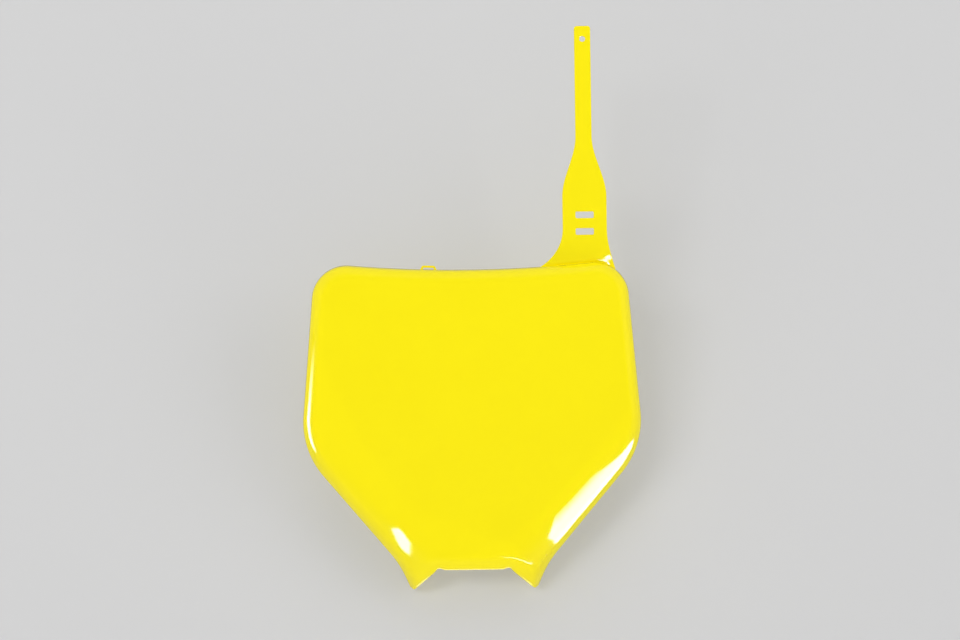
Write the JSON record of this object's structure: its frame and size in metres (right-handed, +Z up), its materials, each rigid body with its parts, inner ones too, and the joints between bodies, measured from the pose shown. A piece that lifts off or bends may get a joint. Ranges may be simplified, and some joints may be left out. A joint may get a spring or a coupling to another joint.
{
  "type": "racing number board",
  "caption": "Moulded plastic number board for the front of an off-road motorcycle: a crowned shield with a rolled rim, ears beside a notch at its foot, and a slotted fixing strap on top.",
  "frame": {"origin": "middle of the board at the height of the ear tips, half way between the front of the face and the back of the ears", "axes": "+Z up along the board towards the strap's tip, -Y out of the front face, +X to the side that the strap is on"},
  "size_m": [0.2432, 0.0387, 0.4025],
  "materials": {
    "board_plastic": "gloss"
  },
  "bodies": {
    "root": {"number_board": "board_plastic"}
  },
  "joints": []
}
